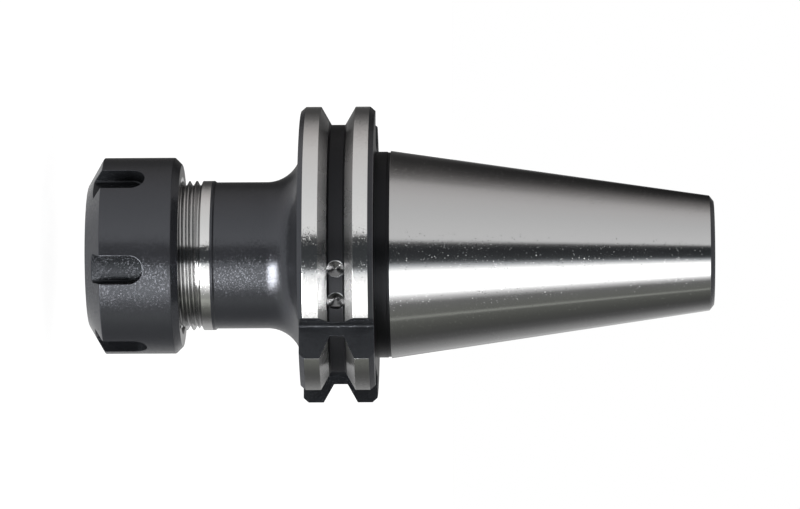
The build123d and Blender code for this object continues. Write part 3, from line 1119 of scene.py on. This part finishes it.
def add_world():
    """A studio as light from all round: white for the camera, and soft boxes and dark gaps for all else."""
    world = bpy.data.worlds.new("studio")
    bpy.context.scene.world = world
    world.use_nodes = True
    tree = world.node_tree
    tree.nodes.clear()
    nodes = Nodes(tree)
    towards, down = camera_directions()
    way = nodes.add("ShaderNodeTexCoord").outputs["Generated"]
    front = nodes.add("ShaderNodeVectorMath", {0: way, 1: towards}, operation="DOT_PRODUCT").outputs["Value"]
    under = nodes.add("ShaderNodeVectorMath", {0: way, 1: down}, operation="DOT_PRODUCT").outputs["Value"]
    height = nodes.add("ShaderNodeSeparateXYZ", {0: way}).outputs["Z"]
    angle = nodes.math("ARCTAN2", under, front)
    share = nodes.math("ADD", nodes.math("DIVIDE", angle, math.tau), 0.5)
    cone, wall, low_cap, high_cap = (
        nodes.ramp_round(share, [(degrees, level / STUDIO_TOP) for degrees, level in levels])
        for levels in (CONE_LEVELS, WALL_LEVELS, LOW_LEVELS, HIGH_LEVELS)
    )
    gap = nodes.math("MULTIPLY", nodes.ramp(share, *GAP_ROUND), nodes.ramp(height, *GAP_RISE))
    kept = nodes.math("SUBTRACT", 1.0, nodes.math("MULTIPLY", gap, GAP_SHADE))
    cone = nodes.add("ShaderNodeVectorMath", {0: cone, "Scale": kept}, operation="SCALE").outputs[0]
    level = nodes.mix(nodes.ramp(height, *CONE_RISE), wall, cone)
    level = nodes.mix(nodes.ramp(height, *END_RISE), level, high_cap)
    depth = nodes.math("MULTIPLY", height, -1.0)
    level = nodes.mix(nodes.ramp(depth, *END_RISE), level, low_cap)
    card = nodes.math("MULTIPLY", nodes.ramp_round(share, CARD_ROUND), nodes.ramp(depth, *CARD_DEPTH))
    glow = nodes.math("MULTIPLY", card, CARD_GLOW / STUDIO_TOP)
    light = nodes.add("ShaderNodeVectorMath", {0: level, 1: glow}, operation="ADD").outputs[0]
    tints = nodes.ramp_round(share, STUDIO_TINTS)
    tinted = nodes.add("ShaderNodeVectorMath", {0: light, 1: tints}, operation="MULTIPLY").outputs[0]
    studio = nodes.add("ShaderNodeBackground", {"Color": tinted, "Strength": STUDIO_TOP})
    white = nodes.add("ShaderNodeBackground", {"Color": (1, 1, 1, 1), "Strength": 1.0})
    path = nodes.add("ShaderNodeLightPath")
    by_camera = path.outputs["Is Camera Ray"]
    shown = nodes.add("ShaderNodeMixShader", {"Fac": by_camera, 1: studio.outputs[0], 2: white.outputs[0]})
    out = nodes.add("ShaderNodeOutputWorld")
    tree.links.new(shown.outputs[0], out.inputs["Surface"])


# Floor: its gap under the nut, how far from the tool axis mirrors see it, its grey, its own light as the
# camera and as mirrors see it, and its reach in metres
FLOOR_GAP = 9.2
FLOOR_MIRRORED = 50.0
FLOOR_GREY = 0.6
FLOOR_SEEN = 0.8
FLOOR_IN_MIRRORS = 0.45
FLOOR_REACH = 6


def add_floor():
    """White floor just below the nut's lowest place, which keeps the holder's soft shadow."""
    mesh = bmesh.new()
    bmesh.ops.create_grid(mesh, x_segments=1, y_segments=1, size=FLOOR_REACH)
    bmesh.ops.translate(mesh, vec=(0, 0, (nut_low.z - FLOOR_GAP) * MM), verts=mesh.verts)
    floor = make_object("floor", mesh)
    material = bpy.data.materials.new("white floor")
    material.use_nodes = True
    tree = material.node_tree
    tree.nodes.clear()
    nodes = Nodes(tree)
    # Mirror rays see the floor under the chuck, and pass through it further out to the lamps
    path = nodes.add("ShaderNodeLightPath")
    mirrored = path.outputs["Is Glossy Ray"]
    place = nodes.add("ShaderNodeTexCoord").outputs["Object"]
    level = nodes.add("ShaderNodeVectorMath", {0: place, 1: (1, 1, 0)}, operation="MULTIPLY").outputs[0]
    reach = nodes.add("ShaderNodeVectorMath", {0: level}, operation="LENGTH").outputs["Value"]
    outside = nodes.math("GREATER_THAN", reach, FLOOR_MIRRORED * MM)
    open_way = nodes.math("MULTIPLY", mirrored, outside)
    seen = nodes.math("MULTIPLY", path.outputs["Is Camera Ray"], FLOOR_SEEN)
    strength = nodes.math("ADD", seen, nodes.math("MULTIPLY", mirrored, FLOOR_IN_MIRRORS))
    matt = nodes.add("ShaderNodeBsdfDiffuse", {"Color": (FLOOR_GREY, FLOOR_GREY, FLOOR_GREY, 1)})
    glow = nodes.add("ShaderNodeEmission", {"Color": (1, 1, 1, 1), "Strength": strength})
    both = nodes.add("ShaderNodeAddShader", {0: matt.outputs[0], 1: glow.outputs[0]})
    clear = nodes.add("ShaderNodeBsdfTransparent")
    shown = nodes.add("ShaderNodeMixShader", {"Fac": open_way, 1: both.outputs[0], 2: clear.outputs[0]})
    out = nodes.add("ShaderNodeOutputMaterial")
    tree.links.new(shown.outputs[0], out.inputs["Surface"])
    floor.data.materials.append(material)
    floor.visible_shadow = False


finishes = make_materials()
finish_piece(holder_piece(), "holder", ["holder_body"], finishes)
finish_piece(nut_piece(), "nut", ["clamping_nut"], finishes)
finish_piece(collet_piece(), "collet", ["collet"], finishes)
add_camera()
add_world()
add_floor()
bpy.context.scene.view_settings.view_transform = "Standard"
